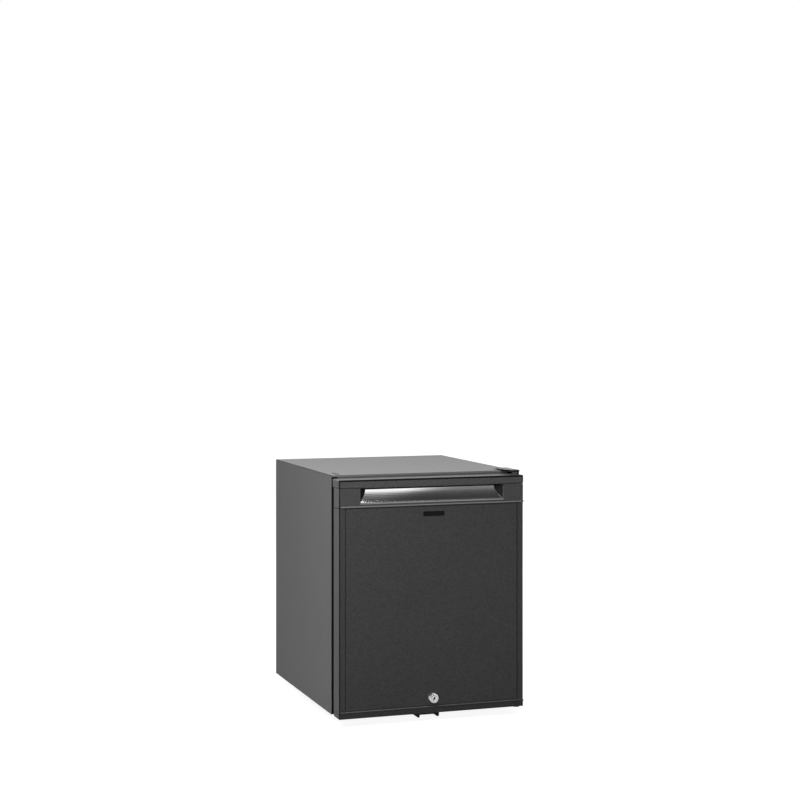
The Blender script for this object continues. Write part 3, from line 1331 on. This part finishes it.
def condenser():
    """The condenser: a straight tube pressed through a row of thin plate fins."""
    tube = add_rods("condenser", [
        ((CONDENSER_LEFT, UNIT_Y, CONDENSER_Z), (CONDENSER_RIGHT, UNIT_Y, CONDENSER_Z))],
        CONDENSER_RADIUS, 16, "black_steel")
    pitch = (CONDENSER_RIGHT - CONDENSER_LEFT) / (CONDENSER_FINS + 1)
    half_depth = CONDENSER_FIN_DEPTH / 2
    half_height = CONDENSER_FIN_HEIGHT / 2
    corners = []
    for index in range(CONDENSER_FINS):
        x = CONDENSER_LEFT + pitch * (index + 1)
        corners.append((
            (x - CONDENSER_FIN_SHEET / 2, UNIT_Y - half_depth, CONDENSER_Z - half_height),
            (x + CONDENSER_FIN_SHEET / 2, UNIT_Y + half_depth, CONDENSER_Z + half_height)))
    return fuse(tube, add_boxes("condenser_fins", corners))


def liquid_line():
    """The thin line that leads liquid ammonia from the condenser through the wall."""
    return add_tube("liquid_line", bent_route([
        (CONDENSER_LEFT - SEAT, UNIT_Y, CONDENSER_Z), (LIQUID_X, UNIT_Y, CONDENSER_Z),
        (LIQUID_X, CAVITY_BACK, CONDENSER_Z)], LIQUID_BEND), LIQUID_RADIUS, "black_steel")


def gas_heat_exchanger():
    """The wide pipe from the evaporator out through the wall and down to the absorber vessel."""
    return add_tube("gas_heat_exchanger", bent_route([
        (EXCHANGER_ENTRY_X, CAVITY_BACK, EXCHANGER_ENTRY_Z), (EXCHANGER_ENTRY_X, UNIT_Y, EXCHANGER_ENTRY_Z),
        (EXCHANGER_X, UNIT_Y, EXCHANGER_ENTRY_Z), (EXCHANGER_X, UNIT_Y, VESSEL_Z),
        (VESSEL_LEFT - SEAT, UNIT_Y, VESSEL_Z)], EXCHANGER_BEND, 6), EXCHANGER_RADIUS, "black_steel",
        sides=12)


def absorber_vessel():
    """The lying absorber vessel with domed ends."""
    length = VESSEL_RIGHT - VESSEL_LEFT
    dome = []
    for step in range(5):
        angle = math.pi / 2 * step / 4
        dome.append((VESSEL_RADIUS * math.sin(angle), VESSEL_DOME * math.cos(angle)))
    shoulder = length - VESSEL_DOME
    profile = [(radius, shoulder + height) for radius, height in dome]
    profile += [(radius, VESSEL_DOME - height) for radius, height in reversed(dome)]
    return add_turned(
        "absorber_vessel", profile, (VESSEL_LEFT, UNIT_Y, VESSEL_Z), (1, 0, 0), "black_steel", sides=24)


def absorber_coil():
    """The absorber coil: level passes stacked above the vessel and joined by round bends."""
    first = VESSEL_TOP + COIL_RISE
    corners = [
        (COIL_RIGHT, UNIT_Y, VESSEL_TOP + SEAT),
        (COIL_RIGHT, UNIT_Y, first)]
    for index in range(COIL_PASSES):
        z = first + COIL_PITCH * index
        far = COIL_LEFT if index % 2 == 0 else COIL_RIGHT
        if index == COIL_PASSES - 1:
            corners.append((EXCHANGER_X + EXCHANGER_RADIUS + SEAT, UNIT_Y, z))
        else:
            corners += [(far, UNIT_Y, z), (far, UNIT_Y, z + COIL_PITCH)]
    return add_tube("absorber_coil", bent_route(corners, COIL_PITCH / 2 - SHEET), COIL_RADIUS, "black_steel")


def solution_line():
    """The thin line that feeds strong solution from the vessel to the boiler's foot."""
    low = CABINET_BOTTOM + SOLUTION_DROP - SOLUTION_RADIUS
    drop_x = VESSEL_RIGHT + SOLUTION_BEND + 2 * SHEET
    return add_tube("solution_line", bent_route([
        (VESSEL_RIGHT + SEAT, UNIT_Y, VESSEL_Z), (drop_x, UNIT_Y, VESSEL_Z), (drop_x, UNIT_Y, low),
        (BOILER_X, UNIT_Y, low), (BOILER_X, UNIT_Y, CABINET_BOTTOM + BOILER_BASE - SEAT)],
        SOLUTION_BEND), SOLUTION_RADIUS, "black_steel")


def unit_rail(name, bottom, saddles):
    """A strip across the rear panel with saddles that hold the unit's pipes off it."""
    front = PANEL_OUTER + SEAT
    rail = add_box(
        name, (-INSIDE_X, front, bottom), (INSIDE_X, front + RAIL_SHEET, bottom + RAIL_HEIGHT), "zinc_sheet")
    arms = add_boxes(name + "_saddles", [
        ((x - SADDLE_WIDTH / 2, front + RAIL_SHEET / 2, bottom + RAIL_SHEET),
         (x + SADDLE_WIDTH / 2, UNIT_Y - radius - SEAT, bottom + RAIL_HEIGHT - RAIL_SHEET))
        for x, radius in saddles])
    return fuse(rail, arms)


def terminal_box():
    """The moulded terminal box over the upper rail, its lid's groove, and the mains cable's gland below it."""
    bottom = UPPER_RAIL_Z + RAIL_HEIGHT + TERMINAL_RISE
    top = bottom + TERMINAL_HEIGHT
    front = PANEL_OUTER + SEAT
    box = add_box(
        "terminal_box", (TERMINAL_LEFT, front, bottom), (TERMINAL_RIGHT, front + TERMINAL_DEPTH, top),
        "nylon", edge=TERMINAL_EDGE)
    seam = front + TERMINAL_DEPTH - TERMINAL_LID
    groove = TERMINAL_GROOVE
    band = add_box(
        "lid_band", (TERMINAL_LEFT - groove, seam - groove, bottom - groove),
        (TERMINAL_RIGHT + groove, seam, top + groove))
    waist = add_box(
        "lid_waist", (TERMINAL_LEFT + groove, seam - 2 * groove, bottom + groove),
        (TERMINAL_RIGHT - groove, seam + groove, top - groove), edge=TERMINAL_EDGE)
    cut(box, cut(band, waist))
    profile = [
        (GLAND_BORE, -SEAT), (GLAND_RADIUS, -SEAT), (GLAND_RADIUS, -GLAND_LENGTH / 2),
        (GLAND_RADIUS * 0.78, -GLAND_LENGTH / 2), (GLAND_RADIUS * 0.62, -GLAND_LENGTH),
        (GLAND_BORE, -GLAND_LENGTH)]
    add_turned(
        "cable_gland", profile, (TERMINAL_RIGHT - 2 * GLAND_LENGTH, front + TERMINAL_DEPTH / 2, bottom),
        (0, 0, 1), "nylon", sides=20, closed=True)


def drain():
    """The drain tube from the drip tray through the wall, and the cup it drips into."""
    cup_bottom = VESSEL_TOP + SEAT
    pipe_y = PANEL_OUTER + DRAIN_OFFSET
    add_tube("drain_tube", bent_route([
        (DRAIN_X, TRAY_BACK - 2 * TRAY_WALL, DRAIN_Z), (DRAIN_X, pipe_y, DRAIN_Z),
        (DRAIN_X, pipe_y, cup_bottom + CUP_HEIGHT / 2)], DRAIN_BEND), DRAIN_RADIUS, "grey_plastic")
    cup_top = cup_bottom + CUP_HEIGHT
    back = UNIT_Y + CUP_DEPTH / 4
    front = back - CUP_DEPTH
    left = DRAIN_X - CUP_WIDTH / 2
    right = DRAIN_X + CUP_WIDTH / 2
    cup = add_box("drip_cup", (left, front, cup_bottom), (right, back, cup_top), "nylon", edge=CUP_EDGE)
    hollow = add_box(
        "cup_hollow", (left + CUP_WALL, front + CUP_WALL, cup_bottom + CUP_WALL),
        (right - CUP_WALL, back - CUP_WALL, cup_top + CUP_WALL))
    return cut(cup, hollow)


def cooling_unit():
    """The hermetic absorption unit and what carries it."""
    boiler()
    vapour_pipe()
    condenser()
    liquid_line()
    gas_heat_exchanger()
    absorber_vessel()
    absorber_coil()
    solution_line()
    unit_rail("lower_unit_rail", CABINET_BOTTOM + LOWER_RAIL_RISE, [
        (BOILER_X, BOILER_RADIUS), (VESSEL_LEFT + SADDLE_INSET, VESSEL_RADIUS),
        (VESSEL_RIGHT - SADDLE_INSET, VESSEL_RADIUS)])
    unit_rail("upper_unit_rail", UPPER_RAIL_Z, [
        (BOILER_X, VAPOUR_RADIUS), (EXCHANGER_X, EXCHANGER_RADIUS)])
    terminal_box()
    drain()


# Assembly

def main():
    """Builds every sub-part on its joint's axis."""
    hinge = add_axis("door_hinge_axis", (HINGE_X, HINGE_Y, DOOR_BOTTOM))
    lock_axis = add_axis("lock_axis", (0, DOOR_FRONT, LOCK_Z))
    bin_axes = [
        add_axis(f"bin_lift_{index}", (0, LINER_FACE, base)) for index, base in enumerate(BIN_BASES)]
    housing_front = CABINET_FRONT + HOUSING_SETBACK
    knob_axis = add_axis("knob_axis", (KNOB_X, housing_front, CONTROLS_Z))
    plunger_axis = add_axis("plunger_axis", (PLUNGER_X, housing_front, CONTROLS_Z))
    cabinet()
    upper_hinge()
    lower_hinge()
    lock_striker()
    door(hinge, lock_axis, bin_axes)
    for name, level in zip(("lower_shelf", "upper_shelf"), SHELF_LEVELS):
        height = LEDGE_LEVELS[level]
        wire_shelf(name, height, add_axis(name + "_slide", (0, CABINET_FRONT + SHELF_FRONT_SETBACK, height)))
    evaporator()
    drip_tray()
    lamp_housing()
    lamp_lens()
    thermostat_knob(knob_axis)
    door_switch(plunger_axis)
    cooling_unit()


main()
